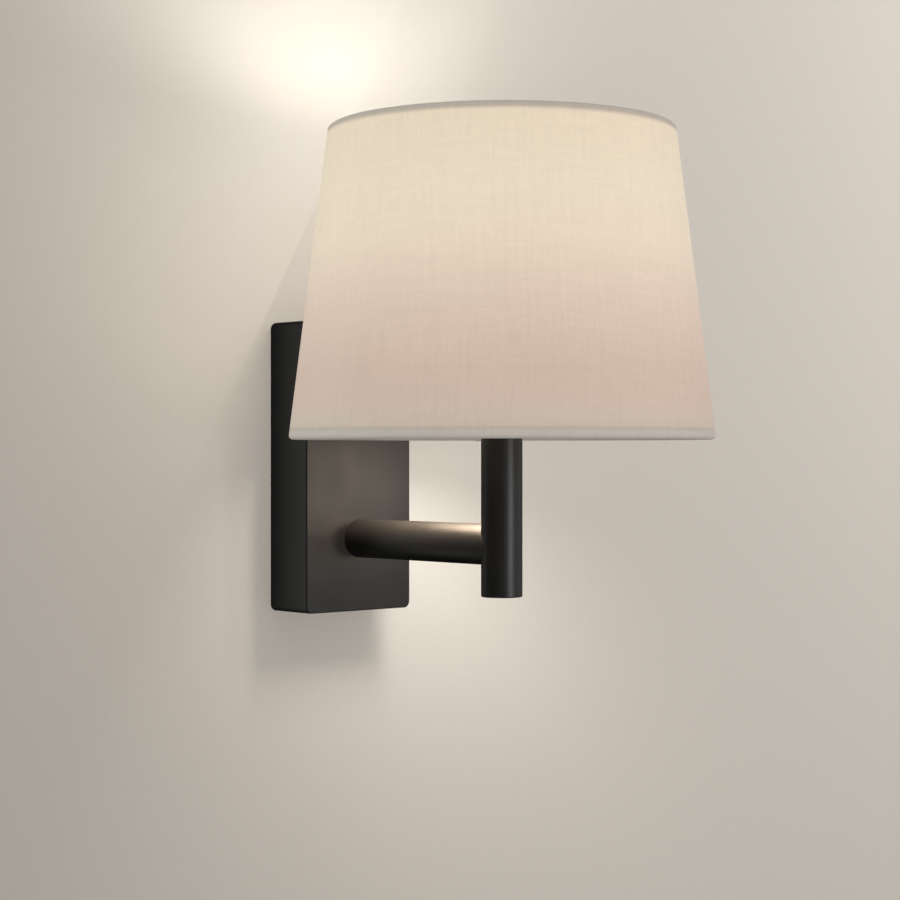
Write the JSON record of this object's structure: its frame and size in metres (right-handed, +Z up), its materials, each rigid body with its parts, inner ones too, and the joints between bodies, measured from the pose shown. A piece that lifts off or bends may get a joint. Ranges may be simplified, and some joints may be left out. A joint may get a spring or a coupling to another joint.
{
  "type": "wall light",
  "caption": "Wall light with a rectangular backplate, a round arm and post, and a tapered fabric shade over a screw-in lamp.",
  "frame": {"origin": "centre of the backplate's back face, on the wall plane", "axes": "+Y into the wall, +Z up, +X to the right as seen from the room; the light lies at negative Y"},
  "size_m": [0.205, 0.2395, 0.2387],
  "materials": {
    "black_powder_coat": "fine matte black powder coat",
    "zinc_plated_steel": "zinc-plated steel",
    "tinned_copper": "tin-plated copper",
    "brass": "plain brass",
    "terminal_steel": "yellow-passivated steel",
    "black_rubber": "matt black rubber",
    "terminal_nylon": "natural nylon",
    "holder_plastic": "black thermoplastic",
    "holder_ceramic": "unglazed steatite",
    "shade_linen": "off-white woven linen, laminated",
    "shade_liner": "white styrene lining",
    "frame_white": "white epoxy-coated wire",
    "wire_brown": "brown insulation",
    "wire_blue": "blue insulation",
    "wire_green": "green and yellow insulation",
    "lamp_opal": "opal diffuser, satin",
    "lamp_housing": "white moulded housing",
    "lamp_cap_nickel": "nickel-plated, rolled thread",
    "lamp_insulator": "black vitrite",
    "lamp_contact": "soldered contact"
  },
  "bodies": {
    "fixture": {"wall_bracket": "zinc_plated_steel", "bracket_nuts": "zinc_plated_steel", "cable_grommet": "black_rubber", "canopy": "black_powder_coat", "canopy_screws": "black_powder_coat", "earth_screw": "brass", "terminal_block": "terminal_nylon", "terminal_block_screws": "zinc_plated_steel", "terminal_barrels": "brass", "terminal_screws": "terminal_steel", "arm_tube": "black_powder_coat", "arm_end_plug": "zinc_plated_steel", "arm_nipple": "zinc_plated_steel", "arm_lock_washer": "zinc_plated_steel", "arm_earth_eyelet": "tinned_copper", "arm_nut": "zinc_plated_steel", "post_tube": "black_powder_coat", "post_end_cap": "black_powder_coat", "post_top_plug": "zinc_plated_steel", "lampholder_nipple": "zinc_plated_steel", "lampholder_cap": "holder_plastic", "lampholder_skirt": "holder_plastic", "lampholder_insert": "holder_ceramic", "lampholder_screw_shell": "brass", "lampholder_centre_contact": "brass", "lower_shade_ring": "holder_plastic", "wire_live": "wire_brown", "wire_neutral": "wire_blue", "wire_earth": "wire_green"},
    "clamp_ring": {"shade_clamp_ring": "holder_plastic"},
    "shade": {"shade_fabric": "shade_linen", "shade_liner": "shade_liner", "shade_top_wire": "frame_white", "shade_bottom_wire": "frame_white", "fitter_ring": "frame_white", "fitter_spokes": "frame_white"},
    "bulb": {"bulb_globe": "lamp_opal", "bulb_housing": "lamp_housing", "bulb_cap": "lamp_cap_nickel", "bulb_insulator": "lamp_insulator", "bulb_contact": "lamp_contact"}
  },
  "joints": [
    {"name": "shade_turn", "type": "hinge", "parent": "fixture", "child": "shade", "pos_m": [0, -0.137, 0], "axis": [0, 0, 1], "continuous": true},
    {"name": "clamp_ring_turn", "type": "hinge", "parent": "fixture", "child": "clamp_ring", "pos_m": [0, -0.137, 0], "axis": [0, 0, 1], "range_deg": [0, 1080]},
    {"name": "bulb_unscrew", "type": "hinge", "parent": "fixture", "child": "bulb", "pos_m": [0, -0.137, 0], "axis": [0, 0, 1], "range_deg": [0, 1440]}
  ]
}
